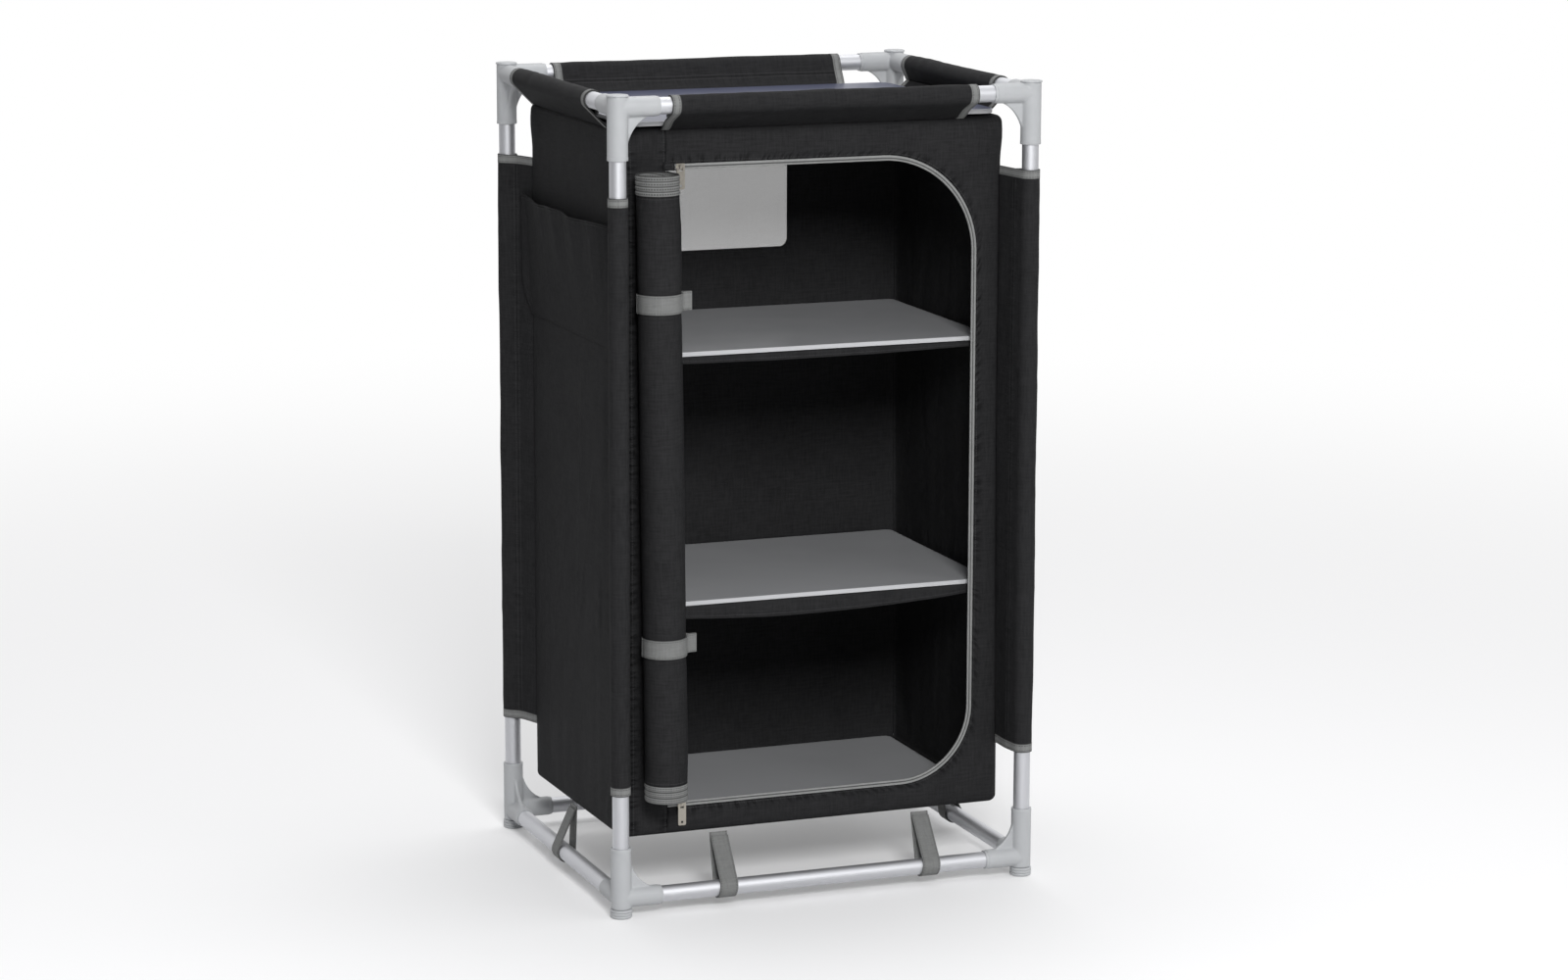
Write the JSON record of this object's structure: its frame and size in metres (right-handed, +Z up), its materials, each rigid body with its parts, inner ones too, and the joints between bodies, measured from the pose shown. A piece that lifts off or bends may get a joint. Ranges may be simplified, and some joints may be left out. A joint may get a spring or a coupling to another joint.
{
  "type": "fabric camp kitchen cupboard",
  "caption": "Camp cupboard of plug-together tubes and moulded corners with a cloth box, rolled zip door, lift-out board shelves and a worktop tray.",
  "frame": {"origin": "on the ground, under the middle of the frame", "axes": "+Z up, +X to the right seen from the front, the door faces -Y"},
  "size_m": [0.602, 0.499, 1.08],
  "materials": {
    "aluminium": "satin drawn tube",
    "corner": "fine moulded grain",
    "cloth": "coated black polyester weave",
    "webbing": "woven grey webbing",
    "zip_tape": "grey zip tape with coil teeth",
    "net": "grey net",
    "board": "grey laminate on fibreboard",
    "steel": "plated, slightly worn"
  },
  "bodies": {
    "frame": {"upper_corner_front_left": "corner", "lower_corner_front_left": "corner", "foot_cap_front_left": "corner", "post_front_left": "aluminium", "post_sleeve_front_left": "cloth", "upper_corner_front_right": "corner", "lower_corner_front_right": "corner", "foot_cap_front_right": "corner", "post_front_right": "aluminium", "post_sleeve_front_right": "cloth", "upper_corner_rear_left": "corner", "lower_corner_rear_left": "corner", "foot_cap_rear_left": "corner", "post_rear_left": "aluminium", "post_sleeve_rear_left": "cloth", "upper_corner_rear_right": "corner", "lower_corner_rear_right": "corner", "foot_cap_rear_right": "corner", "post_rear_right": "aluminium", "post_sleeve_rear_right": "cloth", "top_rail_front": "aluminium", "bottom_rail_front": "aluminium", "rail_sleeve_front": "cloth", "top_rail_rear": "aluminium", "bottom_rail_rear": "aluminium", "rail_sleeve_rear": "cloth", "top_rail_left": "aluminium", "bottom_rail_left": "aluminium", "rail_sleeve_left": "cloth", "top_rail_right": "aluminium", "bottom_rail_right": "aluminium", "rail_sleeve_right": "cloth", "front_panel": "cloth", "rear_panel": "cloth", "left_panel": "cloth", "right_panel": "cloth", "top_panel": "cloth", "floor_panel": "cloth", "upper_shelf_sling": "cloth", "lower_shelf_sling": "cloth", "side_pocket": "cloth", "vent_mesh": "net", "zip_tape": "zip_tape", "tie_strap_front_left": "webbing", "tie_strap_front_right": "webbing", "tie_strap_rear_left": "webbing", "tie_strap_rear_right": "webbing", "tie_strap_left": "webbing", "tie_strap_right": "webbing"},
    "worktop_board": {"worktop_board": "board"},
    "upper_shelf_board": {"upper_shelf_board": "board"},
    "lower_shelf_board": {"lower_shelf_board": "board"},
    "floor_board": {"floor_board": "board"},
    "door_roll": {"door_roll": "cloth"},
    "upper_roll_strap": {"upper_roll_strap": "webbing"},
    "lower_roll_strap": {"lower_roll_strap": "webbing"},
    "top_zip_slider": {"top_zip_slider": "steel"},
    "top_zip_pull": {"top_zip_pull": "steel"},
    "bottom_zip_slider": {"bottom_zip_slider": "steel"},
    "bottom_zip_pull": {"bottom_zip_pull": "steel"}
  },
  "joints": [
    {"name": "worktop_lift", "type": "slide", "parent": "frame", "child": "worktop_board", "axis": [0, 0, 1], "range_m": [0, 0.15]},
    {"name": "upper_shelf_lift", "type": "slide", "parent": "frame", "child": "upper_shelf_board", "axis": [0, 0, 1], "range_m": [0, 0.08]},
    {"name": "lower_shelf_lift", "type": "slide", "parent": "frame", "child": "lower_shelf_board", "axis": [0, 0, 1], "range_m": [0, 0.08]},
    {"name": "floor_board_lift", "type": "slide", "parent": "frame", "child": "floor_board", "axis": [0, 0, 1], "range_m": [0, 0.08]},
    {"name": "door_roll_swing", "type": "hinge", "parent": "frame", "child": "door_roll", "pos_m": [-0.2035, -0.183, 0.5567], "axis": [0, 0, 1], "range_deg": [0, 30]},
    {"name": "upper_strap_peel", "type": "hinge", "parent": "door_roll", "child": "upper_roll_strap", "pos_m": [-0.25056, -0.2153, 0.8085], "axis": [0, 0, -1], "range_deg": [0, 55]},
    {"name": "lower_strap_peel", "type": "hinge", "parent": "door_roll", "child": "lower_roll_strap", "pos_m": [-0.25056, -0.2153, 0.3556], "axis": [0, 0, -1], "range_deg": [0, 55]},
    {"name": "top_zip_slide", "type": "slide", "parent": "frame", "child": "top_zip_slider", "axis": [1, 0, 0], "range_m": [0, 0.275]},
    {"name": "top_pull_swing", "type": "hinge", "parent": "top_zip_slider", "child": "top_zip_pull", "pos_m": [-0.184, -0.1857, 0.97885], "axis": [-1, 0, 0], "range_deg": [0, 90]},
    {"name": "bottom_zip_slide", "type": "slide", "parent": "frame", "child": "bottom_zip_slider", "axis": [1, 0, 0], "range_m": [0, 0.3]},
    {"name": "bottom_pull_swing", "type": "hinge", "parent": "bottom_zip_slider", "child": "bottom_zip_pull", "pos_m": [-0.184, -0.1857, 0.13115], "axis": [-1, 0, 0], "range_deg": [0, 90]}
  ]
}
